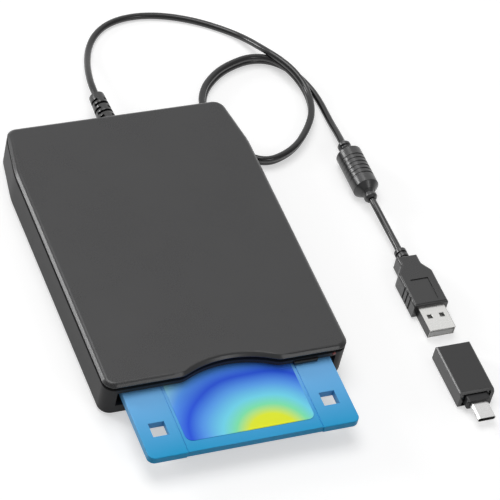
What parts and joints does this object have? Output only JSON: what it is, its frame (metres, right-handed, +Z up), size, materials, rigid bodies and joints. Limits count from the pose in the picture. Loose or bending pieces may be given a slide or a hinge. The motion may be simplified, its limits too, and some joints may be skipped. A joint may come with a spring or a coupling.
{
  "type": "external floppy disk drive",
  "caption": "Slim external drive for 3.5 inch disks, with a disk partly out of its slot, a fixed lead with a ferrite sleeve and a plug, and a separate plug adapter.",
  "frame": {"origin": "on the table under the middle of the case", "axes": "+X to the right, +Y to the rear where the lead leaves, +Z up"},
  "size_m": [0.1614, 0.2543, 0.0185],
  "materials": {
    "lid_plastic": "fine satin moulded plastic",
    "case_plastic": "fine satin moulded plastic",
    "button_plastic": "satin",
    "foot_rubber": "matt",
    "screw_steel": "zinc plated",
    "lamp": "translucent red",
    "gland_rubber": "satin",
    "frame_steel": "zinc plated sheet",
    "mechanism_plastic": "satin",
    "board": "lacquered",
    "chip": "matt",
    "motor_metal": "turned",
    "rod_steel": "ground",
    "disk_plastic": "satin blue",
    "label_paper": "coated",
    "shutter_metal": "brushed",
    "medium_film": "glossy dark brown",
    "hub_steel": "stamped",
    "tab_plastic": "satin",
    "cord_jacket": "smooth vinyl",
    "sleeve_plastic": "satin",
    "ferrite": "matt",
    "plug_plastic": "satin",
    "plug_metal": "nickel plated",
    "plug_insulator": "matt",
    "adapter_plastic": "satin",
    "adapter_metal": "nickel plated",
    "collar_plastic": "satin"
  },
  "bodies": {
    "drive": {"bottom_case": "case_plastic", "top_cover": "lid_plastic", "foot_1": "foot_rubber", "foot_2": "foot_rubber", "foot_3": "foot_rubber", "foot_4": "foot_rubber", "case_screw_1": "screw_steel", "case_screw_2": "screw_steel", "case_screw_3": "screw_steel", "case_screw_4": "screw_steel", "lamp_lens": "lamp", "cable_gland": "gland_rubber", "chassis": "frame_steel", "motor_board": "board", "guide_rail": "rod_steel", "stepper_motor": "motor_metal", "control_board": "board", "control_chip": "chip", "cord_from_gland": "cord_jacket", "cord_loop": "cord_jacket", "cord_to_ferrite": "cord_jacket", "cord_in_sleeve": "cord_jacket", "cord_to_plug": "cord_jacket", "ferrite_shell": "sleeve_plastic", "ferrite_core": "ferrite", "plug_body": "plug_plastic", "plug_shell": "plug_metal", "plug_tongue": "plug_insulator"},
    "eject_slide": {"slide_plate": "frame_steel", "eject_button": "button_plastic"},
    "holder": {"disk_holder": "frame_steel"},
    "disk": {"disk_upper_shell": "disk_plastic", "disk_lower_shell": "disk_plastic", "disk_label": "label_paper"},
    "shutter": {"disk_shutter": "shutter_metal"},
    "medium": {"disk_medium": "medium_film", "disk_hub": "hub_steel"},
    "tab": {"write_tab": "tab_plastic"},
    "rotor": {"spindle_rotor": "motor_metal"},
    "screw": {"lead_screw": "rod_steel"},
    "carriage": {"head_carriage": "mechanism_plastic", "arm_pin": "rod_steel"},
    "arm": {"head_arm": "mechanism_plastic"},
    "adapter": {"adapter_body": "adapter_plastic", "adapter_socket": "adapter_metal", "adapter_tongue": "collar_plastic", "adapter_collar": "collar_plastic", "typec_shell": "adapter_metal"}
  },
  "joints": [
    {"name": "eject_slide", "type": "slide", "parent": "drive", "child": "eject_slide", "axis": [0, -1, 0], "range_m": [0, 0.004]},
    {"name": "holder_drop", "type": "slide", "parent": "drive", "child": "holder", "axis": [0, 0, 1], "range_m": [-0.002, 0]},
    {"name": "disk_slide", "type": "slide", "parent": "holder", "child": "disk", "axis": [0, -1, 0], "range_m": [-0.0335, 0.055]},
    {"name": "shutter_slide", "type": "slide", "parent": "disk", "child": "shutter", "axis": [1, 0, 0], "range_m": [0, 0.013], "stiffness_N_per_m": 20, "springref_m": -0.008},
    {"name": "medium_turn", "type": "hinge", "parent": "disk", "child": "medium", "pos_m": [0, -0.0557, 0.0108], "axis": [0, 0, 1], "continuous": true},
    {"name": "tab_slide", "type": "slide", "parent": "disk", "child": "tab", "axis": [0, 1, 0], "range_m": [0, 0.006]},
    {"name": "rotor_turn", "type": "hinge", "parent": "drive", "child": "rotor", "pos_m": [0, -0.0222, 0.005], "axis": [0, 0, 1], "continuous": true},
    {"name": "screw_turn", "type": "hinge", "parent": "drive", "child": "screw", "pos_m": [0.011, 0.0371, 0.008], "axis": [0, 1, 0], "range_deg": [-900, 900]},
    {"name": "carriage_slide", "type": "slide", "parent": "drive", "child": "carriage", "axis": [0, 1, 0], "range_m": [-0.0075, 0.0075]},
    {"name": "arm_tilt", "type": "hinge", "parent": "carriage", "child": "arm", "pos_m": [0, 0.038, 0.013], "axis": [1, 0, 0], "range_deg": [0, 4]},
    {"name": "adapter_slide", "type": "slide", "parent": "drive", "child": "adapter", "axis": [0, 1, 0], "range_m": [0, 0.022]}
  ],
  "couplings": [
    {"joint": "holder_drop", "follows": "eject_slide", "ratio": -0.5},
    {"joint": "arm_tilt", "follows": "eject_slide", "rad_per_m": 17.448},
    {"joint": "screw_turn", "follows": "carriage_slide", "rad_per_m": 2094.4}
  ]
}
